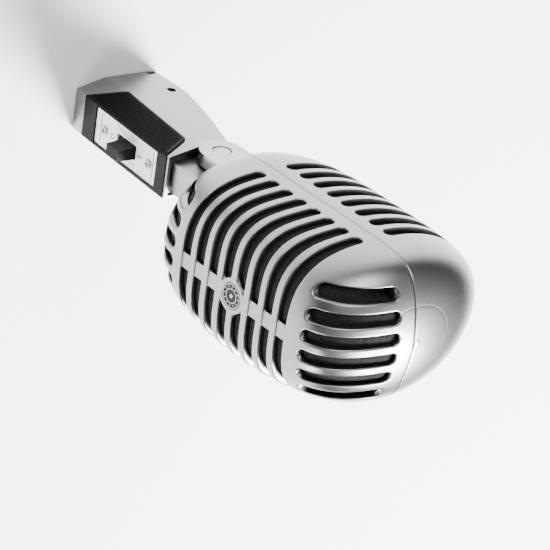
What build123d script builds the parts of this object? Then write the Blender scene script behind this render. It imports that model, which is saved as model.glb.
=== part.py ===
"""Desktop microphone: slotted die-cast head tilting on a slim switch base.

Units are millimetres, +Z is up and the front faces -Y. The origin is the centre of the
stand-thread hole on the flat underside of the base.
"""
import os
from math import atan2, cos, degrees, pi, sin, sqrt

from build123d import *

os.makedirs("parts", exist_ok=True)

# ---------------------------------------------------------------- driving dimensions
# head envelope, measured from the head centre
head_half_w = 27.2
head_half_h = 51.95
head_front = 34.7            # seam plane to the front of the head
head_rear = 45.0             # seam plane to the back of the head
form_step = pi / 2 * 0.095   # angle between head sections; stops just short of the poles
head_y = -12.4               # head centre, ahead of the thread axis
head_z = 136.25              # head centre above the underside
seam = 1.7                   # seam plane behind the head centre
seam_gap = 0.12              # hairline between the two shells
wall = 2.0                   # shell thickness
foam_gap = 0.15
foam_t = 2.8

# horizontal slots and crown slots
slot_n = 8
slot_pitch = 7.18
slot_w = 4.15
bar_half = 2.85              # half width of the upright bar down the front
slot_tip = -3.3              # rear end of the front-shell slots
rear_tip = 6.8               # front end of the rear-shell slots
rear_slot_end = 36.0
crown_pitch = 7.35
crown_w = 4.3
crown_low = (34.1, 33.8, 32.2)   # lower end of each pair of crown slots, inner pair first
crown_back = -4.4
chin_pitch = 7.12
chin_w = 4.8
chin_top = 32.0
chin_len = 11.0
emblem_r = 4.55
boss_r = 6.2
boss_proud = 0.25

# base
base_h = 59.4
front_y = -11.0              # front edge at the underside
front_top_y = -13.9          # front edge at the rim
front_half = 7.95
front_half_top = 8.25
waist_half = 10.1
waist_half_top = 9.9
waist_y = 1.3
waist_y_top = -1.0
back_half = 8.8
back_y = 26.5
back_flat = 6.4              # height where the back starts to curve forward
back_chamfer = 2.5
back_lean = 14.6             # how far the back has come forward at the rim
back_mid = 5.2               # and about half way up
base_wall = 2.2
floor_z = 21.0
rim_w = 1.3
rim_depth = 1.2

# stand thread and connector
thread_r = 7.45
insert_r = 8.5
insert_h = 12.0
xlr_y = 16.8
xlr_r = 7.7
xlr_depth = 12.0
xlr_t = 6.6
xlr_seat_r = 6.7                # seat of the insulator, behind a shoulder
xlr_shoulder = 0.9
xlr_pin_r = 1.2
xlr_pin_circle = 3.75
set_screw_y = 19.6
set_screw_z = 16.5
latch_z = 1.7                    # window of the cable latch
latch_h = 1.8
latch_len = 6.0
set_screw_r = 1.75

# swivel
pivot_y = 2.9
pivot_z = 67.5
disc_r = 8.15
pin_r = 3.5
pin_clear = 0.05
pin_recess = 0.3
pin_chamfer = 0.4
lug_half = 5.8
washer_t = 0.5
side_clear = 0.35
ear_t = 4.75
lug_r = 15.7
lug_front = -11.7
lug_back = 11.6
cradle_clear = 0.75

# switch panel
skin = 1.3                   # depth of the surround below the base outline
skin_proud = 0.35
skin_corner = 0.9               # rounding of the surround's two upright front corners
skin_fit = 0.05
plate_half = 7.1
plate_low = 13.85
plate_high = 52.75
plate_t = 0.9
plate_sink = 0.35
window_w = 5.5
window_h = 12.4
knob_gap = 0.3
knob_h = 7.7
knob_out = 7.6
knob_taper = 0.35
can_w = 10.4
can_h = 22.0
can_d = 7.5
screw_head_r = 1.7
screw_shank_r = 0.9

# ---------------------------------------------------------------- derived sizes
lean = atan2(front_y - front_top_y, base_h)
ear_in = lug_half + washer_t + side_clear
ear_out = ear_in + ear_t
window_mid = (plate_low + plate_high) / 2
knob_w = window_w - 2 * knob_gap
knob_travel = window_h - knob_h - 2 * knob_gap
knob_mid = window_mid + knob_travel / 2
big = 200.0


def side_plane(x=0.0):
    """Sketch plane with x along +Y and y along +Z, looking along +X."""
    return Plane(origin=(x, 0, 0), x_dir=(0, 1, 0), z_dir=(1, 0, 0))


def front_plane(inset=0.0):
    """Plane of the leaning base front, sunk by inset; x across, y up the face, z outwards."""
    o = (0, front_y + inset * cos(lean), inset * sin(lean))
    return Plane(origin=o, x_dir=(1, 0, 0), z_dir=(0, -cos(lean), -sin(lean)))


# ---------------------------------------------------------------- head surface
def head_sizes(z, inset):
    """Half width, front depth, back depth and corner exponents at height z from the centre."""
    t = min(abs(z) / (head_half_h - inset), 1.0)
    blend = cos(pi / 2 * t) ** 2
    half = (head_half_w - inset) * (1 - t ** 10.0) ** (1 / 1.5)
    front = (head_front - inset) * (1 - t ** 8.3) ** (1 / 1.5)
    rear = (head_rear - inset) * (1 - t ** 5.2) ** (1 / 1.6)
    return half, front, rear, 2.0 + 2.5 * blend, 2.05 + 0.1 * blend


def head_outline(z, inset, steps=8):
    half, front, rear, n_front, n_rear = head_sizes(z, inset)
    pts = []
    for i in range(4 * steps):
        a = i * pi / (2 * steps)
        c, s = cos(a), sin(a)
        n, depth = (n_rear, rear) if s >= 0 else (n_front, front)
        r = (abs(c) ** n + abs(s) ** n) ** (-1 / n)
        pts.append((half * r * c, head_y + seam + depth * r * s))
    return pts


def head_form(inset, mode=Mode.ADD):
    """Closed head form, sunk by inset from the outside surface."""
    sections = []
    for k in range(-10, 11):
        z = sin(k * form_step) * (head_half_h - inset)
        with BuildSketch(Plane.XY.offset(head_z + z)) as level:
            with BuildLine():
                Spline(*head_outline(z, inset), periodic=True)
            make_face()
        sections.append(level.sketch)
    loft(sections, mode=mode)


def keep_front(cut_y):
    with Locations((0, cut_y + big / 2, head_z)):
        Box(big, big, big, mode=Mode.SUBTRACT)


def keep_rear(cut_y):
    with Locations((0, cut_y - big / 2, head_z)):
        Box(big, big, big, mode=Mode.SUBTRACT)


def side_slots(y_from, y_to):
    """Rows of horizontal slots on both sides, rounded at both ends in side view."""
    for x0 in (bar_half, -bar_half - big):
        with BuildSketch(side_plane(x0)) as row:
            for i in range(slot_n):
                z = head_z + (i - (slot_n - 1) / 2) * slot_pitch
                with Locations((head_y + (y_from + y_to) / 2, z)):
                    SlotOverall(abs(y_to - y_from), slot_w)
        extrude(row.sketch, amount=big, mode=Mode.SUBTRACT)


def post_spots():
    return [(sx * post_x, head_z + sz * post_z) for sx in (-1, 1) for sz in (-1, 1)]


def y_circles(y0, y1, r, spots, mode=Mode.ADD):
    """Round bars along Y from y0 back to y1 at the given (x, z) spots."""
    with BuildSketch(Plane.XZ.offset(-y0)) as spot_sketch:
        with Locations(*spots):
            Circle(r)
    extrude(spot_sketch.sketch, amount=y0 - y1, mode=mode)


seam_y = head_y + seam
skin_y = seam_y - head_front         # foremost point of the head
post_x = 18.2
post_z = 44.2
post_r = 2.3
post_len = 7.0
dowel_r = 1.1
dowel_len = 5.0
dowel_fit = 0.03
emblem_floor = 1.2
emblem_t = 0.8

# posts inside the two shells, trimmed to the middle of the wall
with BuildPart() as front_posts:
    y_circles(seam_y - post_len, seam_y - seam_gap / 2, post_r, post_spots())
    head_form(wall / 2, Mode.INTERSECT)

with BuildPart() as rear_posts:
    y_circles(seam_y + seam_gap / 2, seam_y + post_len, post_r, post_spots())
    head_form(wall / 2, Mode.INTERSECT)

# front shell: slots first, then the emblem boss and dowel posts
with BuildPart() as front_grille:
    head_form(0)
    head_form(wall, Mode.SUBTRACT)
    keep_front(seam_y - seam_gap / 2)
    side_slots(slot_tip, -head_front - 30)
    for k, low in enumerate(crown_low):
        for sx in (-1, 1):
            x = sx * (k + 0.5) * crown_pitch
            with BuildSketch(Plane.XY.offset(head_z + low + crown_w / 2)):
                with Locations((x, head_y + crown_back - 30)):
                    SlotOverall(60, crown_w, rotation=90)
            extrude(amount=30, mode=Mode.SUBTRACT)
            with BuildSketch(Plane.XZ.offset(-head_y + 12)):
                with Locations((x, head_z + low + 10)):
                    SlotOverall(20, crown_w, rotation=90)
            extrude(amount=40, mode=Mode.SUBTRACT)
            x = sx * (k + 0.5) * chin_pitch
            with BuildSketch(Plane.XZ.offset(-head_y + 12)):
                with Locations((x, head_z - chin_top - chin_len / 2)):
                    SlotOverall(chin_len, chin_w, rotation=90)
            extrude(amount=40, mode=Mode.SUBTRACT)
    y_circles(skin_y + wall, skin_y - boss_proud, boss_r, [(0, head_z)])
    y_circles(skin_y + wall - emblem_floor, skin_y - boss_proud, emblem_r + dowel_fit,
              [(0, head_z)], Mode.SUBTRACT)
    add(front_posts.part)
    y_circles(seam_y - dowel_len, seam_y, dowel_r + dowel_fit, post_spots(), Mode.SUBTRACT)
front_grille.part.label = "front_grille"

# fork and fixing sizes shared by the head parts
fork_t = 2.5
fork_z = head_z - 43.5               # underside of the fork plate
fork_front = head_y + 3.5
fork_back = head_y + 28.5
fork_screws_y = (head_y + 7.0, head_y + 24.5)
fork_boss_r = 3.9
fork_screw_r = 1.5
fork_head_r = 2.6
fork_head_h = 2.0
fork_head_z = (head_z - head_half_h + 0.9, head_z - 47.0)
ear_slot_gap = 0.25
plate_y = head_y + 9.0               # front of the chassis plate
plate_thick = 2.0
tab_t = 2.5
tab_half = 8.0
tab_top = head_z - 22.0
chassis_screw_z = head_z - 28.0
chassis_screw_x = 5.0
screw_fit = 0.03

with BuildPart() as rear_boss:
    for y in fork_screws_y:
        with Locations((0, y, fork_z - 10)):
            Cylinder(fork_boss_r, 20)
    head_form(wall / 2, Mode.INTERSECT)
    with Locations((0, pivot_y, fork_z + 10)):
        Box(60, 80, 20, mode=Mode.SUBTRACT)

with BuildPart() as rear_shell:
    head_form(0)
    head_form(wall, Mode.SUBTRACT)
    keep_rear(seam_y + seam_gap / 2)
    side_slots(rear_tip, rear_slot_end)
    add(rear_posts.part)
    add(rear_boss.part)
    y_circles(seam_y, seam_y + dowel_len, dowel_r + dowel_fit, post_spots(), Mode.SUBTRACT)
    for sx in (-1, 1):
        with Locations((sx * (ear_in + ear_out) / 2, pivot_y, fork_z - 8.5)):
            Box(ear_t + 2 * ear_slot_gap, 2 * disc_r + 2 * ear_slot_gap, 23, mode=Mode.SUBTRACT)
    for y, z in zip(fork_screws_y, fork_head_z):
        with Locations((0, y, fork_z)):
            Cylinder(fork_screw_r + screw_fit, 40, mode=Mode.SUBTRACT)
        with Locations((0, y, z + fork_head_h - 10)):
            Cylinder(fork_head_r + screw_fit, 20, mode=Mode.SUBTRACT)
rear_shell.part.label = "rear_shell"

with BuildPart() as shell_dowels:
    y_circles(seam_y - dowel_len + 0.1, seam_y + dowel_len - 0.1, dowel_r, post_spots())
shell_dowels.part.label = "shell_dowels"

with BuildPart() as emblem:
    back = skin_y + wall - emblem_floor
    y_circles(back, back - emblem_t, emblem_r, [(0, head_z)])
    for r in (4.0, 2.4):
        with BuildSketch(Plane.XZ.offset(-back + emblem_t)):
            with Locations((0, head_z)):
                Circle(r)
                Circle(r - 0.5, mode=Mode.SUBTRACT)
        extrude(amount=-0.2, mode=Mode.SUBTRACT)
emblem.part.label = "emblem"

# foam linings of the two shells
foam_out = wall + foam_gap
with BuildPart() as foam_front:
    head_form(foam_out)
    head_form(foam_out + foam_t, Mode.SUBTRACT)
    keep_front(seam_y - 0.2)
    y_circles(seam_y - post_len - 1, seam_y + 1, post_r + 0.5, post_spots(), Mode.SUBTRACT)
    for sz in (-1, 1):
        with Locations((0, seam_y, head_z + sz * (post_z + 10))):
            Box(2 * post_x + 8, 2 * post_len + 2, 20, mode=Mode.SUBTRACT)
foam_front.part.label = "foam_front"

with BuildPart() as foam_rear:
    head_form(foam_out)
    head_form(foam_out + foam_t, Mode.SUBTRACT)
    keep_rear(seam_y + 0.2)
    for sz in (-1, 1):
        with Locations((0, 0, head_z + sz * (36.0 + 20))):
            Box(big, big, 40, mode=Mode.SUBTRACT)
foam_rear.part.label = "foam_rear"

# swivel fork: two round ears, a plate inside the head and an upright tab
with BuildPart() as swivel_fork:
    for sx in (-1, 1):
        with BuildSketch(side_plane(sx * (ear_in + ear_out) / 2)):
            with Locations((pivot_y, pivot_z)):
                Circle(disc_r)
            with Locations((pivot_y, (pivot_z + fork_z + fork_t) / 2)):
                Rectangle(2 * disc_r, fork_z + fork_t - pivot_z)
        extrude(amount=ear_t / 2, both=True)
    with Locations((0, (fork_front + fork_back) / 2, fork_z + fork_t / 2)):
        Box(11.6, fork_back - fork_front, fork_t)
    with Locations((0, pivot_y, fork_z + fork_t / 2)):
        Box(2 * ear_out, 2 * disc_r, fork_t)
    with Locations((0, plate_y + plate_thick + tab_t / 2, (fork_z + tab_top) / 2)):
        Box(2 * tab_half, tab_t, tab_top - fork_z)
    with Locations((0, pivot_y, pivot_z)):
        Cylinder(pin_r + pin_clear, 40, rotation=(0, 90, 0), mode=Mode.SUBTRACT)
    for y in fork_screws_y:
        with Locations((0, y, fork_z)):
            Cylinder(fork_screw_r + screw_fit, 20, mode=Mode.SUBTRACT)
    spots = [(sx * chassis_screw_x, chassis_screw_z) for sx in (-1, 1)]
    y_circles(plate_y, plate_y + 8, fork_screw_r + screw_fit, spots, Mode.SUBTRACT)
swivel_fork.part.label = "swivel_fork"

with BuildPart() as fork_screws:
    for y, z in zip(fork_screws_y, fork_head_z):
        with Locations((0, y, z + fork_head_h / 2)):
            Cylinder(fork_head_r, fork_head_h)
        top = fork_z + fork_t + 1.5
        with Locations((0, y, (z + top) / 2)):
            Cylinder(fork_screw_r, top - z)
        with Locations((0, y, z)):
            Box(4.0, 0.7, 1.0, mode=Mode.SUBTRACT)
            Box(0.7, 4.0, 1.0, mode=Mode.SUBTRACT)
fork_screws.part.label = "fork_screws"

with BuildPart() as chassis_plate:
    with BuildSketch(Plane.XZ.offset(-plate_y)):
        with Locations((0, head_z + 1.0)):
            RectangleRounded(40.0, 82.0, 15.0)
        with Locations((0, head_z + 12.0)):
            Circle(7.0, mode=Mode.SUBTRACT)
    extrude(amount=-plate_thick)
    y_circles(plate_y - 1, plate_y + 4, fork_screw_r + screw_fit, spots, Mode.SUBTRACT)
chassis_plate.part.label = "chassis_plate"

with BuildPart() as chassis_screws:
    y_circles(plate_y - 1.6, plate_y, fork_head_r, spots)
    y_circles(plate_y - 0.2, plate_y + plate_thick + tab_t + 0.8, fork_screw_r, spots)
    y_circles(plate_y - 1.7, plate_y - 1.0, 1.2, spots, Mode.SUBTRACT)
chassis_screws.part.label = "chassis_screws"

# cartridge hung in a rubber ring inside a three-legged cradle
cart_z = head_z + 12.0
cart_r = 13.5
cart_front = head_y - 21.0
cart_back = head_y - 5.0
ring_t = 2.2
cradle_t = 1.8
leg_r = 1.4
magnet_r = 9.5
magnet_back = head_y + 3.5

with BuildPart() as cartridge_body:
    y_circles(cart_front, cart_back, cart_r, [(0, cart_z)])
    y_circles(cart_front, cart_front + 2.5, cart_r - 1.5, [(0, cart_z)], Mode.SUBTRACT)
cartridge_body.part.label = "cartridge_body"

with BuildPart() as cartridge_grille:
    y_circles(cart_front + 0.5, cart_front + 1.5, cart_r - 1.5, [(0, cart_z)])
    with BuildSketch(Plane.XZ.offset(-cart_front)):
        for r, n in ((4.0, 6), (8.2, 12)):
            with Locations((0, cart_z)):
                with PolarLocations(r, n):
                    Circle(1.3)
        with Locations((0, cart_z)):
            Circle(1.3)
    extrude(amount=-3, mode=Mode.SUBTRACT)
cartridge_grille.part.label = "cartridge_grille"

with BuildPart() as magnet_can:
    y_circles(cart_back, magnet_back, magnet_r, [(0, cart_z)])
magnet_can.part.label = "magnet_can"

with BuildPart() as suspension_ring:
    y_circles(head_y - 15, head_y - 10, cart_r + ring_t, [(0, cart_z)])
    y_circles(head_y - 15, head_y - 10, cart_r, [(0, cart_z)], Mode.SUBTRACT)
suspension_ring.part.label = "suspension_ring"

with BuildPart() as cradle:
    rim = cart_r + ring_t
    y_circles(head_y - 16, head_y - 9, rim + cradle_t, [(0, cart_z)])
    y_circles(head_y - 16, head_y - 9, rim, [(0, cart_z)], Mode.SUBTRACT)
    legs = [((rim + cradle_t / 2) * cos(a), cart_z + (rim + cradle_t / 2) * sin(a))
            for a in (pi / 4, 3 * pi / 4, 3 * pi / 2)]
    y_circles(head_y - 10, plate_y, leg_r, legs)
    y_circles(head_y - 16, head_y - 8, rim, [(0, cart_z)], Mode.SUBTRACT)
cradle.part.label = "cradle"

# transformer on the back of the chassis plate
core_w, core_h, core_d = 18.0, 20.0, 11.0
core_z = head_z + 2.0
core_y = plate_y + plate_thick + core_d / 2
coil_h = 10.0
coil_grow = 3.0

with BuildPart() as transformer_core:
    with Locations((0, core_y, core_z)):
        Box(core_w, core_d, core_h)
transformer_core.part.label = "transformer_core"

with BuildPart() as transformer_coil:
    with Locations((0, core_y + coil_grow / 2, core_z)):
        Box(core_w + 2 * coil_grow, core_d + coil_grow, coil_h)
    with Locations((0, core_y, core_z)):
        Box(core_w, core_d, core_h, mode=Mode.SUBTRACT)
transformer_coil.part.label = "transformer_coil"


# ---------------------------------------------------------------- base
def column(inset, mode=Mode.ADD):
    """Upright form of the base plan, sunk by inset, before its back curve is cut."""
    rise = (base_h + 2.6) / base_h
    plans = []
    for z, fy, fh, wy, wh in (
            (0, front_y, front_half, waist_y, waist_half),
            (base_h + 2.6, front_y + rise * (front_top_y - front_y), front_half_top,
             waist_y_top, waist_half_top)):
        pts = [(fh - 0.8 * inset, fy + inset), (wh - inset, wy),
               (back_half - inset, back_y - back_chamfer - 0.4 * inset),
               (back_half - back_chamfer - 0.4 * inset, back_y - inset)]
        with BuildSketch(Plane.XY.offset(z)) as plan:
            with BuildLine():
                Polyline(*pts, *[(-x, y) for x, y in reversed(pts)], close=True)
            make_face()
        plans.append(plan.sketch)
    loft(plans, ruled=True, mode=mode)


def back_curve(inset, low, high, mode=Mode.INTERSECT):
    """Keep what lies ahead of the curved back between two heights."""
    b = back_y - inset
    with BuildSketch(side_plane(0)) as view:
        with BuildLine():
            Line((b, back_flat), (b, low - 1))
            Line((b, low - 1), (-40, low - 1))
            Line((-40, low - 1), (-40, high))
            Line((-40, high), (b - back_lean, high))
            ThreePointArc((b - back_lean, high), (b - back_mid, 0.52 * high), (b, back_flat))
        make_face()
    extrude(view.sketch, amount=40, both=True, mode=mode)


def panel_prism(grow, mode=Mode.ADD):
    """Side-view outline of the black surround, run right across the base."""
    corners = [(-40.0, -9.8 - grow), (1.7 + grow, 13.8 - grow), (-1.75 + grow, 53.3 + grow),
               (-40.0, 68.6 + grow)]
    with BuildSketch(side_plane(0)) as view:
        with BuildLine():
            Polyline(*corners, close=True)
        make_face()
        fillet([v for v in vertices() if v.X > -20], 3.0)
    extrude(view.sketch, amount=40, both=True, mode=mode)


with BuildPart() as panel_core:
    column(skin)

with BuildPart() as panel_pocket:
    panel_prism(skin_fit)
    add(panel_core.part, mode=Mode.SUBTRACT)

with BuildPart() as cavity:
    column(base_wall)
    back_curve(base_wall, 0, base_h)
    with Locations((0, 0, floor_z - big / 2)):
        Box(big, big, big, mode=Mode.SUBTRACT)
    with Locations((0, 0, base_h - rim_depth - base_wall + big / 2)):
        Box(big, big, big, mode=Mode.SUBTRACT)

with BuildPart() as top_recess:
    column(rim_w)
    back_curve(rim_w, 0, base_h)
    with Locations((0, 0, base_h - rim_depth - big / 2)):
        Box(big, big, big, mode=Mode.SUBTRACT)

with BuildPart() as base_casting:
    column(0)
    back_curve(0, 0, base_h)
    add(top_recess.part, mode=Mode.SUBTRACT)
    add(cavity.part, mode=Mode.SUBTRACT)
    add(panel_pocket.part, mode=Mode.SUBTRACT)
    with BuildSketch(side_plane(-lug_half)):
        with BuildLine():
            a0 = pi - atan2(6.0, pivot_y - lug_front)
            start = (lug_front, pivot_z + 6.0)
            rr = sqrt((pivot_y - lug_front) ** 2 + 36.0)
            mid = (pivot_y - rr * cos(1.2), pivot_z + rr * sin(1.2))
            end = (pivot_y + rr * cos(1.1), pivot_z + rr * sin(1.1))
            Line((lug_front, base_h - rim_depth - base_wall), start)
            ThreePointArc(start, mid, end)
            Line(end, (lug_back, base_h - rim_depth - base_wall))
            Line((lug_back, base_h - rim_depth - base_wall),
                 (lug_front, base_h - rim_depth - base_wall))
        make_face()
    extrude(amount=2 * lug_half)
    for sx in (-1, 1):
        with Locations((sx * (lug_half + 10), pivot_y, pivot_z)):
            Cylinder(disc_r + cradle_clear, 20, rotation=(0, 90, 0), mode=Mode.SUBTRACT)
    with Locations((0, pivot_y, pivot_z)):
        Cylinder(pin_r, 40, rotation=(0, 90, 0), mode=Mode.SUBTRACT)
    with Locations((0, 0, 0)):
        Cylinder(insert_r, 2 * insert_h, mode=Mode.SUBTRACT)
    with Locations((0, xlr_y, 0)):
        Cylinder(xlr_r, 2 * xlr_depth, mode=Mode.SUBTRACT)
        Cylinder(xlr_seat_r, 2 * (xlr_depth + xlr_t), mode=Mode.SUBTRACT)
        Cylinder(xlr_seat_r - xlr_shoulder, 2 * floor_z + 1, mode=Mode.SUBTRACT)
    with Locations((-back_half, set_screw_y, set_screw_z)):
        Cylinder(set_screw_r, 7, rotation=(0, 90, 0), mode=Mode.SUBTRACT)
    with Locations((-back_half, back_y - latch_len / 2 - 0.8, latch_z)):
        Box(2 * base_wall, latch_len, latch_h, mode=Mode.SUBTRACT)
    with Locations(front_plane(0)):
        with Locations((0, window_mid, -3.0)):
            Box(can_w + 0.6, can_h + 0.6, 12.0, mode=Mode.SUBTRACT)
        for v in (0.15, 0.87):
            with Locations((0, plate_low + v * (plate_high - plate_low), -4)):
                Cylinder(screw_shank_r, 12, mode=Mode.SUBTRACT)
base_casting.part.label = "base_casting"

with BuildPart() as thread_insert:
    with Locations((0, 0, insert_h / 2)):
        Cylinder(insert_r, insert_h)
        Cylinder(thread_r, insert_h, mode=Mode.SUBTRACT)
thread_insert.part.label = "thread_insert"

with BuildPart() as xlr_insert:
    with Locations((0, xlr_y, xlr_depth + xlr_t / 2)):
        Cylinder(xlr_seat_r, xlr_t)
    with Locations((0, xlr_y, 0)):
        with PolarLocations(xlr_pin_circle, 3, start_angle=-90):
            Cylinder(xlr_pin_r, 60, mode=Mode.SUBTRACT)
    with Locations((-back_half, set_screw_y, set_screw_z)):
        Cylinder(set_screw_r, 7, rotation=(0, 90, 0), mode=Mode.SUBTRACT)
xlr_insert.part.label = "xlr_insert"

with BuildPart() as xlr_pins:
    pin_top = xlr_depth + xlr_t + 1.4
    with Locations((0, xlr_y, (pin_top + 2.5) / 2)):
        with PolarLocations(xlr_pin_circle, 3, start_angle=-90):
            Cylinder(xlr_pin_r, pin_top - 2.5)
xlr_pins.part.label = "xlr_pins"

with BuildPart() as xlr_set_screw:
    with Locations((-back_half + 2.2, set_screw_y, set_screw_z)):
        Cylinder(set_screw_r, 2.4, rotation=(0, 90, 0))
    with Locations((-back_half + 1.0, set_screw_y, set_screw_z)):
        Cylinder(0.8, 1.6, rotation=(0, 90, 0), mode=Mode.SUBTRACT)
xlr_set_screw.part.label = "xlr_set_screw"

with BuildPart() as surround_hollow:
    column(skin - skin_fit)

with BuildPart() as switch_surround:
    column(-skin_proud)
    panel_prism(-skin_fit, Mode.INTERSECT)
    front_edges = switch_surround.faces().sort_by(Axis.Y)[0].edges()
    fillet(front_edges.filter_by(lambda e: e.length > base_h / 2), skin_corner)
    add(surround_hollow.part, mode=Mode.SUBTRACT)
    with Locations(front_plane(0)):
        with Locations((0, window_mid, 0)):
            Box(2 * plate_half + 0.1, plate_high - plate_low + 0.1, 4, mode=Mode.SUBTRACT)
switch_surround.part.label = "switch_surround"

plate_len = plate_high - plate_low
screw_rows = [plate_low + f * plate_len for f in (0.15, 0.87)]

with BuildPart() as switch_plate:
    with BuildSketch(front_plane(plate_sink)):
        with Locations((0, window_mid)):
            RectangleRounded(2 * plate_half, plate_len, 0.8)
            Rectangle(window_w, window_h, mode=Mode.SUBTRACT)
        for v in screw_rows:
            with Locations((0, v)):
                Circle(screw_shank_r + screw_fit, mode=Mode.SUBTRACT)
    extrude(amount=-plate_t)
switch_plate.part.label = "switch_plate"

with BuildPart() as plate_screws:
    for v in screw_rows:
        with Locations(front_plane(plate_sink)):
            with Locations((0, v, 0.4)):
                Cylinder(screw_head_r, 0.8)
            with Locations((0, v, -3.0)):
                Cylinder(screw_shank_r, 6.0)
            with Locations((0, v, 0.7)):
                Box(2.4, 0.5, 0.6, mode=Mode.SUBTRACT)
                Box(0.5, 2.4, 0.6, mode=Mode.SUBTRACT)
plate_screws.part.label = "plate_screws"

# slide switch: a can behind the plate with a slot for the knob's stem
can_front = plate_sink + plate_t + 0.05
stem_w = 2.4
stem_h = 3.0
foot_w = 4.4
foot_h = 4.6
slot_half = (knob_travel + stem_h) / 2 + 0.4
room_half = (knob_travel + foot_h) / 2 + 0.4

with BuildPart() as switch_body:
    with Locations(front_plane(can_front)):
        with Locations((0, window_mid, -can_d / 2)):
            Box(can_w, can_h, can_d)
        with Locations((0, window_mid, 0)):
            Box(stem_w + 0.8, 2 * slot_half, 3.0, mode=Mode.SUBTRACT)
        with Locations((0, window_mid, -1.0 - 1.6)):
            Box(foot_w + 0.8, 2 * room_half, 3.2, mode=Mode.SUBTRACT)
switch_body.part.label = "switch_body"

with BuildPart() as switch_terminals:
    with Locations(front_plane(can_front)):
        for k in (-1, 0, 1):
            with Locations((0, window_mid + 6.0 * k, -can_d - 1.5)):
                Box(2.0, 0.6, 3.0)
switch_terminals.part.label = "switch_terminals"

with BuildPart() as switch_knob:
    with BuildSketch(front_plane(can_front - 0.4)):
        with Locations((0, knob_mid)):
            Rectangle(knob_w, knob_h)
    with BuildSketch(front_plane(plate_sink - knob_out)):
        with Locations((0, knob_mid)):
            Rectangle(knob_w - 2 * knob_taper, knob_h - 2 * knob_taper)
    loft(ruled=True)
    with Locations(front_plane(can_front)):
        with Locations((0, knob_mid, -0.5)):
            Box(stem_w, stem_h, 2.2)
        with Locations((0, knob_mid, -2.2)):
            Box(foot_w, foot_h, 1.5)
switch_knob.part.label = "switch_knob"

# pivot
with BuildPart() as pivot_pin:
    with Locations((0, pivot_y, pivot_z)):
        Cylinder(pin_r, 2 * (ear_out - pin_recess), rotation=(0, 90, 0))
    chamfer(pivot_pin.edges().filter_by(GeomType.CIRCLE), pin_chamfer)
pivot_pin.part.label = "pivot_pin"

with BuildPart() as friction_washers:
    for sx in (-1, 1):
        with Locations((sx * (lug_half + washer_t / 2), pivot_y, pivot_z)):
            Cylinder(6.0, washer_t, rotation=(0, 90, 0))
            Cylinder(pin_r, washer_t, rotation=(0, 90, 0), mode=Mode.SUBTRACT)
friction_washers.part.label = "friction_washers"

export_step(base_casting.part, "parts/base_casting.step")
export_step(thread_insert.part, "parts/thread_insert.step")
export_step(xlr_insert.part, "parts/xlr_insert.step")
export_step(xlr_pins.part, "parts/xlr_pins.step")
export_step(xlr_set_screw.part, "parts/xlr_set_screw.step")
export_step(switch_surround.part, "parts/switch_surround.step")
export_step(switch_plate.part, "parts/switch_plate.step")
export_step(plate_screws.part, "parts/plate_screws.step")
export_step(switch_body.part, "parts/switch_body.step")
export_step(switch_terminals.part, "parts/switch_terminals.step")
export_step(pivot_pin.part, "parts/pivot_pin.step")
export_step(friction_washers.part, "parts/friction_washers.step")
export_step(switch_knob.part, "parts/switch_knob.step")
export_step(front_grille.part, "parts/front_grille.step")
export_step(rear_shell.part, "parts/rear_shell.step")
export_step(shell_dowels.part, "parts/shell_dowels.step")
export_step(emblem.part, "parts/emblem.step")
export_step(foam_front.part, "parts/foam_front.step")
export_step(foam_rear.part, "parts/foam_rear.step")
export_step(swivel_fork.part, "parts/swivel_fork.step")
export_step(fork_screws.part, "parts/fork_screws.step")
export_step(chassis_plate.part, "parts/chassis_plate.step")
export_step(chassis_screws.part, "parts/chassis_screws.step")
export_step(cartridge_body.part, "parts/cartridge_body.step")
export_step(cartridge_grille.part, "parts/cartridge_grille.step")
export_step(magnet_can.part, "parts/magnet_can.step")
export_step(suspension_ring.part, "parts/suspension_ring.step")
export_step(cradle.part, "parts/cradle.step")
export_step(transformer_core.part, "parts/transformer_core.step")
export_step(transformer_coil.part, "parts/transformer_coil.step")
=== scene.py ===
"""Desktop microphone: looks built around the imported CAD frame.

Shapes are worked out in millimetres and turned into metres when an object is made.
"""
import math

import bmesh
import bpy
import numpy as np
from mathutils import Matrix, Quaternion, Vector


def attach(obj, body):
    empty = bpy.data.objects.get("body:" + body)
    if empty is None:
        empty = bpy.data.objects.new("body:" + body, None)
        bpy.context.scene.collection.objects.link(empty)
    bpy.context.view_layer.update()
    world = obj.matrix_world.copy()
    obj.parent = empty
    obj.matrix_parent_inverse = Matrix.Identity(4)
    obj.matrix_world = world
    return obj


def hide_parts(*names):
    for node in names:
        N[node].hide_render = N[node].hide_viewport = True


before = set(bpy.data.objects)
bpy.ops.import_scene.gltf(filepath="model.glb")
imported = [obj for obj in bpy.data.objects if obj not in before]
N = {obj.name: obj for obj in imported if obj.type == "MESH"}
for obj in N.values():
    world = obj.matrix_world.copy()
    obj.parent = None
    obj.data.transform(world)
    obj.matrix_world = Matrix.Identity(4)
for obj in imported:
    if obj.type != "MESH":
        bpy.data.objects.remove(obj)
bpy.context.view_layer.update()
BASE, HEAD = "base", "head"

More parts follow.
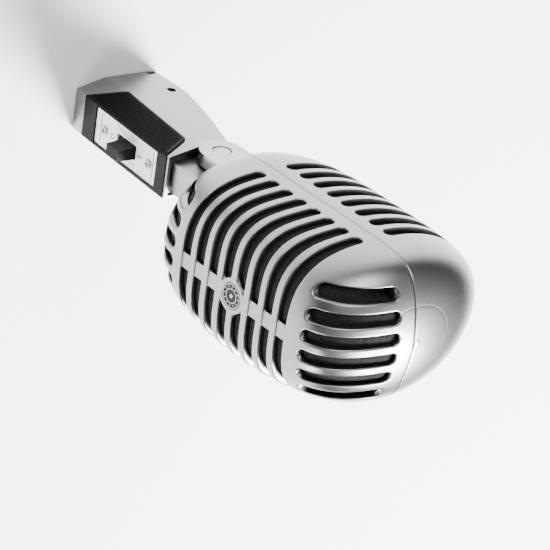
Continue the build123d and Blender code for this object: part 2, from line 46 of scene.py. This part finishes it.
# ------------------------------------------------------------ sizes shared with the CAD, in mm
MM = 1000.0                                # millimetres in a metre
HEAD_Y, HEAD_Z = -12.4, 136.25             # the head's centre
HALF_W, HALF_H, FRONT, REAR = 27.2, 51.79, 34.7, 45.0
SEAM, GAP, WALL = 1.7, 0.12, 2.0           # seam between the shells, and their wall
SLOT_N, PITCH, SLOT_W = 8, 7.18, 4.15      # horizontal slots
BAR, BAR_SINK = 2.85, 0.55                 # half width of the centre bar, and its groove
TIP, REAR_TIP, REAR_END = -3.3, 6.8, 36.0  # where the slots end, front and rear
FRONT_PAST = -FRONT - 30                   # well in front of the head
CROWN_PITCH, CROWN_W, CROWN_LOW, CROWN_BACK = 7.35, 4.3, (34.1, 33.8, 32.2), -4.4
CHIN_N, CHIN_PITCH, CHIN_W, CHIN_TOP, CHIN_LEN = 3, 7.12, 4.8, 32.0, 11.0
CHIN_BACK = -12.0                          # how far back the chin slots reach
BOSS_R, BOSS_PROUD, EMBLEM_R = 6.2, 0.02, 4.55
WELL_PLAY, WELL_FLOOR = 0.1, 1.3           # emblem's well: play round it, wall left under it
PIVOT_Y = 2.9
EAR_IN, EAR_OUT, EAR_HALF, EAR_TOP = 6.65, 11.4, 2.6, -38.0   # room for the fork's ears
DISC_R, DISC_PLAY = 8.15, 0.2
FORK_HOLES = ((7.0, -51.05), (24.5, -47.0))                   # depth and height of each
FORK_HOLE_R, FORK_HOLE_RISE = 2.65, 2.0
POST_X, POST_Z, POST_R, POST_LEN = 18.2, 44.2, 2.3, 7.0       # posts the dowels join
BASE_H, BASE_FRONT, BASE_LEAN = 59.4, -11.0, 2.9              # front face leans forward
PLATE_SINK, SKIN_PROUD = 0.35, 0.35        # plate behind the base's outline, surround past it

# ------------------------------------------------------------ mesh sizes and softness, in mm
STEP = 0.33         # grid of the shells
EDGE, SEAM_EASE, CREASE = 0.55, 0.8, 0.3   # rounding of slots, seam and inner corners
FOAM_GAP, FOAM_T, FOAM_STEP, FOAM_PLAY = 0.15, 2.8, 0.5, 0.5
FOAM_SWELL, FOAM_BULGE, FOAM_ROUGH, FOAM_RISE = 0.7, 0.5, 0.13, 1.4
FOAM_SEAM, FOAM_REAR_HALF = 0.2, 36.0


# ------------------------------------------------------------ materials
def new_material(name):
    """A material with its node tree and its shader."""
    m = bpy.data.materials.new(name)
    m.use_nodes = True
    return m, m.node_tree, m.node_tree.nodes["Principled BSDF"]


def noise(nt, scale, detail=3.0, rough=0.5, stretch=(1, 1, 1)):
    """Noise in the object's own coordinates."""
    tc = nt.nodes.new("ShaderNodeTexCoord")
    mp = nt.nodes.new("ShaderNodeMapping")
    mp.inputs["Scale"].default_value = stretch
    n = nt.nodes.new("ShaderNodeTexNoise")
    n.inputs["Scale"].default_value = scale
    n.inputs["Detail"].default_value = detail
    n.inputs["Roughness"].default_value = rough
    nt.links.new(tc.outputs["Object"], mp.inputs["Vector"])
    nt.links.new(mp.outputs["Vector"], n.inputs["Vector"])
    return n


def bump(nt, bsdf, source, strength, distance):
    """Fine relief from a noise, distance in metres."""
    b = nt.nodes.new("ShaderNodeBump")
    b.inputs["Strength"].default_value = strength
    b.inputs["Distance"].default_value = distance
    nt.links.new(source, b.inputs["Height"])
    nt.links.new(b.outputs["Normal"], bsdf.inputs["Normal"])


def ramp(nt, source, stops, socket):
    """Colour ramp from source into socket; stops are (position, colour), in order."""
    r = nt.nodes.new("ShaderNodeValToRGB")
    e = r.color_ramp.elements
    e[0].position, e[0].color = stops[0][0], (*stops[0][1], 1)
    e[1].position, e[1].color = stops[-1][0], (*stops[-1][1], 1)
    for p, c in stops[1:-1]:
        x = e.new(p)
        x.color = (*c, 1)
    nt.links.new(source, r.inputs["Fac"])
    nt.links.new(r.outputs["Color"], socket)


def metal(name, color, rough, grain=0.02, stretch=(1, 1, 1), scale=900.0):
    """Metal with a faintly uneven colour, and a grain in its roughness and relief."""
    spread = 0.05
    m, nt, b = new_material(name)
    b.inputs["Metallic"].default_value = 1.0
    n = noise(nt, 45.0, 4.0)
    lo = tuple(c * 0.95 for c in color)
    ramp(nt, n.outputs["Fac"], [(0.3, lo), (0.7, color)], b.inputs["Base Color"])
    n2 = noise(nt, scale, 2.0, 0.6, stretch)
    ramp(nt, n2.outputs["Fac"], [(0.25, (rough - spread,) * 3), (0.75, (rough + spread,) * 3)],
         b.inputs["Roughness"])
    bump(nt, b, n2.outputs["Fac"], grain, 0.0002)
    return m


def plain(name, color, rough, speck=0.0, spec=0.5):
    """Paint, plastic or rubber, with specks in relief where speck is above zero."""
    m, nt, b = new_material(name)
    n = noise(nt, 160.0, 3.0)
    lo = tuple(c * 0.88 for c in color)
    ramp(nt, n.outputs["Fac"], [(0.3, lo), (0.7, color)], b.inputs["Base Color"])
    b.inputs["Roughness"].default_value = rough
    b.inputs["Specular IOR Level"].default_value = spec
    if speck:
        n2 = noise(nt, 1200.0, 2.0)
        bump(nt, b, n2.outputs["Fac"], speck, 0.0002)
    return m


def foam_material():
    m, nt, b = new_material("foam")
    n = noise(nt, 2600.0, 2.0, 0.7)
    ramp(nt, n.outputs["Fac"], [(0.38, (0.004, 0.004, 0.004)), (0.62, (0.026, 0.024, 0.024))],
         b.inputs["Base Color"])
    b.inputs["Roughness"].default_value = 0.95
    b.inputs["Specular IOR Level"].default_value = 0.15
    bump(nt, b, n.outputs["Fac"], 0.8, 0.0004)
    return m


MAT = {
    "nickel": metal("nickel", (0.235, 0.235, 0.237), 0.31, 0.22, scale=3200.0),
    "nickel_bright": metal("nickel_bright", (0.33, 0.33, 0.332), 0.22, 0.08, (1, 1, 5), 1500.0),
    "brass": metal("brass", (0.70, 0.5, 0.22), 0.28),
    "black_oxide": metal("black_oxide", (0.03, 0.03, 0.032), 0.4),
    "steel": metal("steel", (0.3, 0.3, 0.305), 0.28),
    "can": metal("can", (0.55, 0.55, 0.57), 0.4),
    "black_plastic": plain("black_plastic", (0.005, 0.005, 0.0052), 0.38, 0.15, spec=0.05),
    "plate_white": plain("plate_white", (0.86, 0.86, 0.85), 0.45, 0.03),
    "foam": foam_material(),
    "enamel": plain("enamel", (0.012, 0.012, 0.014), 0.35, 0.0, spec=0.1),
    "rubber": plain("rubber", (0.02, 0.02, 0.02), 0.7, 0.2),
    "coil": plain("coil", (0.35, 0.12, 0.03), 0.35, 0.3),
}


def paint(obj, key):
    """Gives obj the one material named by key, in place of its own."""
    obj.data.materials.clear()
    obj.data.materials.append(MAT[key])


# ------------------------------------------------------------ fields, in mm about the head centre
def smax(a, b, k):
    """Maximum of two fields, rounded over a width k."""
    h = np.maximum(k - np.abs(a - b), 0.0) / k
    return np.maximum(a, b) + h * h * k * 0.25


def smin(a, b, k):
    """Minimum of two fields, rounded over a width k."""
    return -smax(-a, -b, k)


def head_field(x, y, z, inset=0.0):
    """About the distance outside the head's surface."""
    t = np.minimum(np.abs(z) / (HALF_H - inset), 0.99999)
    blend = np.cos(math.pi / 2 * t) ** 2
    half = (HALF_W - inset) * (1 - t ** 10.0) ** (1 / 1.5)
    yy = y - SEAM
    front = (FRONT - inset) * (1 - t ** 8.3) ** (1 / 1.5)
    rear = (REAR - inset) * (1 - t ** 5.2) ** (1 / 1.6)
    depth = np.where(yy < 0, front, rear)
    n = np.where(yy < 0, 2.0 + 2.5 * blend, 2.05 + 0.1 * blend)
    u, v = np.abs(x) / half, np.abs(yy) / depth
    return (u ** n + v ** n) ** (1 / n) - 1.0


def head_distance(x, y, z, inset=0.0):
    """Distance outside the head's surface, or a surface inset from it, to first order."""
    e = 0.02
    f = head_field(x, y, z, inset)
    gx = (head_field(x + e, y, z, inset) - f) / e
    gy = (head_field(x, y + e, z, inset) - f) / e
    gz = (head_field(x, y, z + e, inset) - f) / e
    d = f / np.maximum(np.sqrt(gx * gx + gy * gy + gz * gz), 1e-4)
    return np.maximum(d, np.abs(z) - (HALF_H - inset))


def bar_slots(x, y, z, y0, y1):
    """Distance outside the rows of horizontal slots, negative inside them."""
    r = SLOT_W / 2
    i = np.clip(np.round(z / PITCH + (SLOT_N - 1) / 2), 0, SLOT_N - 1)
    zc = (i - (SLOT_N - 1) / 2) * PITCH
    yc, h = (y0 + y1) / 2, abs(y1 - y0) / 2 - r
    return np.hypot(np.maximum(np.abs(y - yc) - h, 0.0), z - zc) - r


def crown_slots(x, y, z):
    """Distance outside the upright slots that run over the crown."""
    d = None
    r = CROWN_W / 2
    for k, low in enumerate(CROWN_LOW):
        dx = np.abs(x) - (k + 0.5) * CROWN_PITCH
        dy = np.maximum(y - (CROWN_BACK - r), 0.0)
        dz = np.maximum(low + r - z, 0.0)
        e = np.sqrt(dx * dx + dy * dy + dz * dz) - r
        d = e if d is None else np.minimum(d, e)
    return d


def chin_slots(x, y, z):
    """Distance outside the short upright slots below the bars."""
    d = None
    r = CHIN_W / 2
    zc, h = -CHIN_TOP - CHIN_LEN / 2, CHIN_LEN / 2 - r
    for k in range(CHIN_N):
        dx = np.abs(x) - (k + 0.5) * CHIN_PITCH
        dz = np.maximum(np.abs(z - zc) - h, 0.0)
        e = np.maximum(np.hypot(dx, dz) - r, y - CHIN_BACK)
        d = e if d is None else np.minimum(d, e)
    return d


def grid(lo, hi, step):
    """Coordinates of a box of points, as three arrays."""
    axes = [np.arange(a, b + step, step, dtype=np.float64) for a, b in zip(lo, hi)]
    return np.meshgrid(*axes, indexing="ij")


def surface_net(f, lo, step):
    """Vertices and quads of the surface where the field f changes sign."""
    inside = f < 0
    n = np.array(f.shape) - 1
    corners = [(i, j, k) for i in (0, 1) for j in (0, 1) for k in (0, 1)]
    count = sum(inside[c[0]:n[0] + c[0], c[1]:n[1] + c[1], c[2]:n[2] + c[2]].astype(np.int8)
                for c in corners)
    cell = np.argwhere((count > 0) & (count < 8))
    vals = np.stack([f[cell[:, 0] + c[0], cell[:, 1] + c[1], cell[:, 2] + c[2]]
                     for c in corners], 1)
    total = np.zeros((len(cell), 3))
    hits = np.zeros(len(cell))
    for a in range(8):
        for b in range(a + 1, 8):
            ca, cb = np.array(corners[a]), np.array(corners[b])
            if np.abs(ca - cb).sum() != 1:
                continue
            va, vb = vals[:, a], vals[:, b]
            cross = (va < 0) != (vb < 0)
            t = np.where(cross, va / np.where(cross, va - vb, 1.0), 0.0)
            total += cross[:, None] * (ca + (cb - ca) * t[:, None])
            hits += cross
    verts = (cell + total / hits[:, None]) * step + np.array(lo)
    index = np.full(tuple(n), -1, dtype=np.int32)
    index[cell[:, 0], cell[:, 1], cell[:, 2]] = np.arange(len(cell))
    quads = []
    for ax in range(3):
        u, v = (ax + 1) % 3, (ax + 2) % 3
        a = np.take(inside, range(0, n[ax]), ax)
        b = np.take(inside, range(1, n[ax] + 1), ax)
        e = np.argwhere(a != b)
        e = e[(e[:, u] > 0) & (e[:, v] > 0) & (e[:, u] < n[u]) & (e[:, v] < n[v])]
        first = a[e[:, 0], e[:, 1], e[:, 2]]
        ring = []
        for du, dv in ((1, 1), (0, 1), (0, 0), (1, 0)):
            p = e.copy()
            p[:, u] -= du
            p[:, v] -= dv
            ring.append(index[p[:, 0], p[:, 1], p[:, 2]])
        q = np.stack(ring, 1)
        q[~first] = q[~first][:, ::-1]
        quads.append(q)
    q = np.concatenate(quads)
    return verts, q[(q >= 0).all(1)]


def mesh_object(name, verts_mm, quads):
    """Smooth-shaded object from points about the head's centre."""
    me = bpy.data.meshes.new(name)
    v = (verts_mm + np.array((0.0, HEAD_Y, HEAD_Z))) / MM
    me.vertices.add(len(v))
    me.vertices.foreach_set("co", v.astype(np.float32).ravel())
    me.loops.add(len(quads) * 4)
    me.loops.foreach_set("vertex_index", quads.astype(np.int32).ravel())
    me.polygons.add(len(quads))
    me.polygons.foreach_set("loop_start", np.arange(0, len(quads) * 4, 4, dtype=np.int32))
    me.polygons.foreach_set("use_smooth", np.ones(len(quads), dtype=bool))
    me.update(calc_edges=True)
    o = bpy.data.objects.new(name, me)
    bpy.context.scene.collection.objects.link(o)
    return o


def posts(x, y, z, outer):
    """Four round posts inside the head, trimmed to the middle of the wall."""
    d = np.hypot(np.abs(x) - POST_X, np.abs(z) - POST_Z) - POST_R
    return np.maximum(np.maximum(d, outer + WALL / 2), np.abs(y - SEAM) - POST_LEN)


def front_shape(x, y, z):
    """Front shell, running on past the seam, where it is cut off afterwards."""
    outer = head_distance(x, y, z)
    d = smax(outer, -head_distance(x, y, z, WALL), CREASE)
    slot = bar_slots(x, y, z, TIP, FRONT_PAST)
    r = np.hypot(x, z)
    open_slot = smax(np.maximum(slot, BAR - np.abs(x)), BOSS_R - r, 2.2)
    d = smax(d, -open_slot, EDGE)
    groove = np.maximum(np.maximum(slot, -(outer + BAR_SINK)), np.maximum(BOSS_R - r, y + 20))
    d = smax(d, -groove, CREASE)
    d = smax(d, -crown_slots(x, y, z), EDGE)
    d = smax(d, -chin_slots(x, y, z), EDGE + CREASE)
    nose = -FRONT + SEAM
    flat = np.maximum(nose - BOSS_PROUD - y, y - (nose + WALL))
    d = smin(d, smax(r - BOSS_R, flat, 0.8), 0.4)
    well = np.maximum(r - EMBLEM_R - WELL_PLAY, y - (nose + WALL - WELL_FLOOR))
    d = smax(smax(d, -well, CREASE), y - SEAM - SEAM_EASE / 8, SEAM_EASE)
    return np.minimum(d, posts(x, y, z, outer))


def rear_shape(x, y, z):
    """Rear shell, running on past the seam, where it is cut off afterwards."""
    outer = head_distance(x, y, z)
    d = smax(outer, -head_distance(x, y, z, WALL), CREASE)
    d = smax(d, -bar_slots(x, y, z, REAR_TIP, REAR_END), EDGE)
    ear = np.maximum(np.abs(np.abs(x) - (EAR_IN + EAR_OUT) / 2) - EAR_HALF,
                     np.maximum(np.abs(y - (PIVOT_Y - HEAD_Y)) - DISC_R - DISC_PLAY,
                                z - EAR_TOP))
    d = smax(d, -ear, 0.5)
    for yc, zh in FORK_HOLES:
        hole = np.maximum(np.hypot(x, y - yc) - FORK_HOLE_R, z - (zh + FORK_HOLE_RISE))
        d = smax(d, -hole, 0.5)
    d = smax(d, SEAM - y - SEAM_EASE / 8, SEAM_EASE)
    return np.minimum(d, posts(x, y, z, outer))


def foam_cells(x, y, z):
    """Open-cell unevenness, between -1 and 1."""
    a = np.sin(4.1 * x + 2.3 * np.sin(1.7 * z)) * np.sin(4.7 * z + 1.9 * np.sin(1.3 * y))
    b = np.sin(3.7 * y + 2.1 * np.sin(2.1 * x)) * np.sin(5.3 * x + 1.1 * z)
    return 0.5 * (a + b)


def foam_shape(x, y, z, front):
    """Lining behind the wall, swelling a little into the slots."""
    outer = head_distance(x, y, z, WALL + FOAM_GAP)
    if front:
        slot = np.maximum(bar_slots(x, y, z, TIP, FRONT_PAST), BAR - np.abs(x))
        slot = np.minimum(np.minimum(slot, crown_slots(x, y, z)), chin_slots(x, y, z))
        ends = SEAM - FOAM_SEAM - y
    else:
        slot = np.maximum(bar_slots(x, y, z, REAR_TIP, REAR_END), BAR - np.abs(x))
        ends = np.minimum(y - SEAM - FOAM_SEAM, FOAM_REAR_HALF - np.abs(z))
    open_part = np.clip(-slot / FOAM_RISE, 0.0, 1.0)
    outer = outer - open_part * (FOAM_BULGE + FOAM_ROUGH * foam_cells(x, y, z))
    # held below this surface, because the distance is too small near the head's poles
    outer = np.maximum(outer, head_distance(x, y, z, WALL + FOAM_GAP - FOAM_SWELL))
    d = smax(outer, -head_distance(x, y, z, WALL + FOAM_GAP + FOAM_T), 0.5)
    hole = np.hypot(np.abs(x) - POST_X, np.abs(z) - POST_Z) - POST_R - FOAM_PLAY
    return smax(smax(d, -ends, 0.5), -hole, 0.4)


def foam(name, front):
    """One foam lining."""
    y0, y1 = (-FRONT + SEAM - 1, SEAM + 1) if front else (SEAM - 1, SEAM + REAR + 1)
    lo = (-HALF_W - 1, y0, -HALF_H - 1)
    step = FOAM_STEP * 1
    x, y, z = grid(lo, (HALF_W + 1, y1, HALF_H + 1), step)
    v, q = surface_net(foam_shape(x, y, z, front), lo, step)
    o = mesh_object(name, v, q)
    paint(o, "foam")
    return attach(o, HEAD)


def settle(shape, p):
    """Moves points onto the surface where the field is zero."""
    e = 0.02
    for _ in range(2):
        f = shape(*p.T)
        g = np.stack([(shape(*(p + np.eye(3)[k] * e).T) - f) / e for k in range(3)], 1)
        step = f / np.maximum((g * g).sum(1), 0.05)
        p = p - g * np.clip(step, -0.3, 0.3)[:, None]
    return p


def cut_at_seam(o, y_mm, keep_front):
    """Cuts a shell off square at the seam and closes its rim."""
    bm = bmesh.new()
    bm.from_mesh(o.data)
    geom = bm.verts[:] + bm.edges[:] + bm.faces[:]
    out = bmesh.ops.bisect_plane(bm, geom=geom, plane_co=(0, (HEAD_Y + y_mm) / MM, 0),
                                 plane_no=(0, 1, 0), clear_outer=keep_front,
                                 clear_inner=not keep_front)
    rim = [g for g in out["geom_cut"] if isinstance(g, bmesh.types.BMEdge)]
    new = bmesh.ops.triangle_fill(bm, edges=rim, use_beauty=True)
    for g in new["geom"]:
        if isinstance(g, bmesh.types.BMFace):
            g.smooth = False
    for e in rim:
        e.smooth = False
    bmesh.ops.recalc_face_normals(bm, faces=bm.faces[:])
    bm.to_mesh(o.data)
    bm.free()


def shell(name, front):
    """One half of the head's shell."""
    y0, y1 = (-FRONT + SEAM - 2, SEAM + 2) if front else (SEAM - 2, SEAM + REAR + 2)
    lo = (-HALF_W - 2, y0, -HALF_H - 2)
    shape = front_shape if front else rear_shape
    x, y, z = grid(lo, (HALF_W + 2, y1, HALF_H + 2), STEP)
    v, q = surface_net(shape(x, y, z), lo, STEP)
    o = mesh_object(name, settle(shape, v), q)
    cut_at_seam(o, SEAM - GAP / 2 if front else SEAM + GAP / 2, front)
    paint(o, "nickel")
    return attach(o, HEAD)


front_shell = shell("front_shell_look", True)
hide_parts("front_grille")
rear_shell = shell("rear_shell_look", False)
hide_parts("rear_shell")
front_foam = foam("foam_front_look", True)
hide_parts("foam_front")
rear_foam = foam("foam_rear_look", False)
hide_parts("foam_rear")

# ------------------------------------------------------------ CAD nodes keep their own shapes
def soften(o, width_mm, segments=2, angle=30):
    """Rounds the edges sharper than the angle, in degrees."""
    b = o.modifiers.new("edge", "BEVEL")
    b.width = width_mm / MM
    b.segments = segments
    b.limit_method = "ANGLE"
    b.angle_limit = math.radians(angle)
    return b


LOOK = {
    "base_casting": "nickel", "thread_insert": "brass", "xlr_insert": "black_plastic",
    "xlr_pins": "steel", "xlr_set_screw": "black_oxide", "switch_surround": "black_plastic",
    "switch_plate": "plate_white", "plate_screws": "steel", "switch_body": "black_plastic",
    "switch_terminals": "steel", "pivot_pin": "nickel_bright", "friction_washers": "steel",
    "switch_knob": "black_plastic", "shell_dowels": "steel", "emblem": "enamel",
    "swivel_fork": "nickel_bright", "fork_screws": "steel", "chassis_plate": "steel",
    "chassis_screws": "steel", "cartridge_body": "can", "cartridge_grille": "can",
    "magnet_can": "can", "suspension_ring": "rubber", "cradle": "can",
    "transformer_core": "steel", "transformer_coil": "coil",
}
BEVEL = {"base_casting": 0.35, "switch_surround": 0.3, "switch_plate": 0.15, "switch_knob": 0.85,
         "swivel_fork": 0.4, "pivot_pin": 0.3, "plate_screws": 0.15, "thread_insert": 0.2,
         "xlr_insert": 0.15, "xlr_pins": 0.3, "emblem": 0.1}
for node, key in LOOK.items():
    paint(N[node], key)
for node, width in BEVEL.items():
    soften(N[node], width, 3, 32).harden_normals = True

# ------------------------------------------------------------ switch surround: bead and ribs
LEAN = math.atan2(BASE_LEAN, BASE_H)
BACK_LOW, BACK_HIGH = (1.7, 13.8), (-1.75, 53.3)   # corners of its rear edge, depth and height
BACK_LOW_RISE, BACK_HIGH_RISE = 0.566, 0.4         # height over depth, beyond each corner
RIB_START, RIB_STOP, RIB_PITCH, RIB_HALF, RIB_CREST = 9.6, 56.0, 1.12, 0.3, 0.45
RIB_FOOT, RIB_PROUD, RIB_MARGIN, RIB_LEAST, RIB_SHORT = -0.1, 0.32, 1.7, 1.2, 0.35
BEAD = ((-10.6, 8.0), (1.0, 14.4), (-2.35, 52.4), (-13.2, 56.9))   # depth and height
BEAD_HALF, BEAD_FOOT, BEAD_PROUD = 0.55, -0.2, 0.3


def side_point(y, z, out):
    """Point on the -X side of the surround at depth y and height z, out beyond the surface."""
    k = z / BASE_H
    fy, fh = BASE_FRONT - BASE_LEAN * k - SKIN_PROUD, 7.95 + 0.3 * k + 0.28   # front corner
    wy, wh = 1.3 - 2.3 * k, 10.1 - 0.2 * k + SKIN_PROUD                       # widest point
    t = (y - fy) / (wy - fy)
    dx, dy = wh - fh, wy - fy
    n = math.hypot(dx, dy)
    return (-(fh + t * dx) - out * dy / n, y - out * dx / n, z)


def prism(verts, faces, ring_a, ring_b):
    """Adds a closed solid between two rings of points."""
    i = len(verts)
    verts += ring_a + ring_b
    m = len(ring_a)
    for k in range(m):
        faces.append((i + k, i + (k + 1) % m, i + m + (k + 1) % m, i + m + k))
    faces.append(tuple(range(i + m - 1, i - 1, -1)))
    faces.append(tuple(range(i + m, i + 2 * m)))


def polygon_object(name, verts_mm, faces, key, body, mirror=False):
    """Flat-sided object on a body, doubled across x = 0 if mirror is set."""
    me = bpy.data.meshes.new(name)
    verts = [tuple(c / MM for c in v) for v in verts_mm]
    if mirror:
        n = len(verts)
        verts = verts + [(-v[0], v[1], v[2]) for v in verts]
        faces = list(faces) + [tuple(n + i for i in reversed(f)) for f in faces]
    me.from_pydata(verts, [], faces)
    me.update()
    o = bpy.data.objects.new(name, me)
    bpy.context.scene.collection.objects.link(o)
    paint(o, key)
    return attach(o, body)


def panel_back(z, margin):
    """Rear limit of the surround's side at height z, a margin inside its edge."""
    (low_y, low_z), (high_y, high_z) = BACK_LOW, BACK_HIGH
    y = low_y - (z - low_z) / (high_z - low_z) * (low_y - high_y) - margin
    if z < low_z + margin:
        y = min(y, low_y - (low_z - z) / BACK_LOW_RISE - margin * 1.6)
    if z > high_z - margin:
        y = min(y, high_y - (z - high_z) / BACK_HIGH_RISE - margin * 1.9)
    return y


def rib_section(y, z):
    """Four corners of a rib's section, from its lower foot to its upper foot."""
    rows = ((-1, RIB_FOOT), (-RIB_CREST, RIB_PROUD), (RIB_CREST, RIB_PROUD), (1, RIB_FOOT))
    return [side_point(y, z + RIB_HALF * k, out) for k, out in rows]


def surround_ribs():
    verts, faces = [], []
    z = RIB_START
    while z < RIB_STOP:
        front = BASE_FRONT - BASE_LEAN * z / BASE_H + RIB_SHORT
        back = panel_back(z, RIB_MARGIN)
        if back - front > RIB_LEAST:
            prism(verts, faces, rib_section(front, z), rib_section(back, z))
        z += RIB_PITCH
    polygon_object("surround_ribs", verts, faces, "black_plastic", BASE, True)


def surround_bead():
    """Raised line round the ribs, open along the front."""
    verts, faces = [], []
    for a, b in zip(BEAD, BEAD[1:]):
        n = math.hypot(b[0] - a[0], b[1] - a[1])
        py, pz = -(b[1] - a[1]) / n * BEAD_HALF, (b[0] - a[0]) / n * BEAD_HALF
        ends = [[side_point(y - py, z - pz, BEAD_FOOT), side_point(y - py, z - pz, BEAD_PROUD),
                 side_point(y + py, z + pz, BEAD_PROUD), side_point(y + py, z + pz, BEAD_FOOT)]
                for y, z in (a, b)]
        prism(verts, faces, *ends)
    soften(polygon_object("surround_bead", verts, faces, "black_plastic", BASE, True), 0.15)


surround_ribs()
surround_bead()

# ------------------------------------------------------------ plate marks
MARK_FOOT, MARK_TOP = -0.4, 0.02 - PLATE_SINK       # below the plate's face, and just over it
TICK_PITCH, TICK_MID, TICK_IN, TICK_HALF = 1.5, 33.3, 3.9, 0.16


def front_point(x, v, out):
    """Point on the leaning front, v up the face from the underside, out beyond the base outline."""
    return (x, BASE_FRONT - v * math.sin(LEAN) - out * math.cos(LEAN),
            v * math.cos(LEAN) - out * math.sin(LEAN))


def ring_parts(xc, yc, r0, r1, n):
    """Corners of the n pieces that make up a flat ring."""
    for k in range(n):
        a, b = 2 * math.pi * k / n, 2 * math.pi * (k + 1) / n
        corners = ((r0, a), (r1, a), (r1, b), (r0, b))
        yield [(xc + r * math.cos(t), yc + r * math.sin(t)) for r, t in corners]


def mark(verts, faces, corners):
    """Printed shape on the plate, from its corners across and up the face."""
    prism(verts, faces, [front_point(x, v, MARK_FOOT) for x, v in corners],
          [front_point(x, v, MARK_TOP) for x, v in corners])


def mark_bar(verts, faces, x0, x1, v0, v1):
    mark(verts, faces, ((x0, v0), (x1, v0), (x1, v1), (x0, v1)))


def plate_marks():
    """Line and ring for on and off, a rule at each end and ticks beside the slide."""
    verts, faces = [], []
    mark_bar(verts, faces, -0.28, 0.28, 40.8, 43.2)
    for part in ring_parts(0.0, 24.6, 0.75, 1.1, 28):
        mark(verts, faces, part)
    for v in (17.0, 50.2):
        mark_bar(verts, faces, -5.6, 5.6, v - 0.2, v + 0.2)
    for k in (-4, -3, -2, -1, 1, 2, 3, 4):
        reach = 5.3 if k % 2 else 6.1
        v = TICK_MID + TICK_PITCH * k
        for x0, x1 in ((-reach, -TICK_IN), (TICK_IN, reach)):
            mark_bar(verts, faces, x0, x1, v - TICK_HALF, v + TICK_HALF)
    polygon_object("plate_marks", verts, faces, "black_plastic", BASE)


plate_marks()

# ------------------------------------------------------------ emblem: rings and rays
EMBLEM_FACE = HEAD_Y + SEAM - FRONT + WALL - 1.2 - 0.8
RELIEF_FOOT, RELIEF, RIM_RELIEF = 0.1, 0.07, 0.08
RAY_N, RAY_IN, RAY_OUT, RAY_HALF = 12, 3.0, 3.7, 0.13


def emblem_relief():
    verts, faces = [], []

    def raise_part(corners, relief):
        prism(verts, faces, [(x, EMBLEM_FACE + RELIEF_FOOT, z) for x, z in corners],
              [(x, EMBLEM_FACE - relief, z) for x, z in corners])

    for r0, r1, relief, n in ((4.05, 4.35, RIM_RELIEF, 64), (2.35, 2.6, RELIEF, 64),
                              (0.0001, 0.7, RELIEF, 24)):
        for part in ring_parts(0.0, HEAD_Z, r0, r1, n):
            raise_part(part, relief)
    for k in range(RAY_N):
        a = 2 * math.pi * k / RAY_N
        c, s = math.cos(a), math.sin(a)
        corners = ((RAY_IN, -RAY_HALF), (RAY_OUT, -RAY_HALF), (RAY_OUT, RAY_HALF),
                   (RAY_IN, RAY_HALF))
        raise_part([(r * c - w * s, HEAD_Z + r * s + w * c) for r, w in corners], RELIEF)
    polygon_object("emblem_relief", verts, faces, "nickel_bright", HEAD)


emblem_relief()

# ------------------------------------------------------------ floor, light and camera
bpy.ops.mesh.primitive_plane_add(size=8.0, location=(0, 0, -0.0006))
floor = bpy.context.object
floor.name = "floor"
floor_material, _, floor_shader = new_material("floor")
floor_shader.inputs["Base Color"].default_value = (0.86, 0.86, 0.86, 1)
floor_shader.inputs["Roughness"].default_value = 0.9
floor_shader.inputs["Specular IOR Level"].default_value = 0.1
floor.data.materials.append(floor_material)


def area(name, loc, target, size, power):
    """Square area light at loc, turned towards target, size in metres and power in watts."""
    light = bpy.data.lights.new(name, "AREA")
    light.energy = power
    light.size = size
    o = bpy.data.objects.new(name, light)
    bpy.context.scene.collection.objects.link(o)
    o.location = loc
    o.rotation_mode = "QUATERNION"
    o.rotation_quaternion = (Vector(target) - Vector(loc)).to_track_quat("-Z", "Y")


def studio_world():
    """Sky that is dark below and pale above."""
    world = bpy.data.worlds.new("studio")
    bpy.context.scene.world = world
    world.use_nodes = True
    nt = world.node_tree
    background = nt.nodes["Background"]
    coords = nt.nodes.new("ShaderNodeTexCoord")
    parts = nt.nodes.new("ShaderNodeSeparateXYZ")
    nt.links.new(coords.outputs["Generated"], parts.inputs["Vector"])
    greys = ((0.0, 0.05), (0.3, 0.10), (0.7, 0.55), (1.0, 0.8))
    ramp(nt, parts.outputs["Z"], [(at, (g, g, g)) for at, g in greys],
         background.inputs["Color"])
    background.inputs["Strength"].default_value = 1.0


MIDDLE = (0, 0, 0.11)
area("key", (0.62, 0.45, 0.95), (0.08, 0.1, 0.02), 0.5, 105.0)
area("fill", (0.9, -0.9, 0.35), MIDDLE, 0.5, 18.0)
area("front", (-0.9, -0.1, 0.7), MIDDLE, 0.6, 9.0)
studio_world()

cam_data = bpy.data.cameras.new("camera")
cam = bpy.data.objects.new("camera", cam_data)
bpy.context.scene.collection.objects.link(cam)
cam_data.sensor_width = 36.0
cam_data.lens = 187.512
cam_data.clip_start, cam_data.clip_end = 0.05, 20.0
cam.location = (-0.449216, -0.599439, 0.742393)
cam.rotation_mode = "QUATERNION"
cam.rotation_quaternion = Quaternion((0.653852, 0.060993, -0.419026, 0.627037))
bpy.context.scene.camera = cam
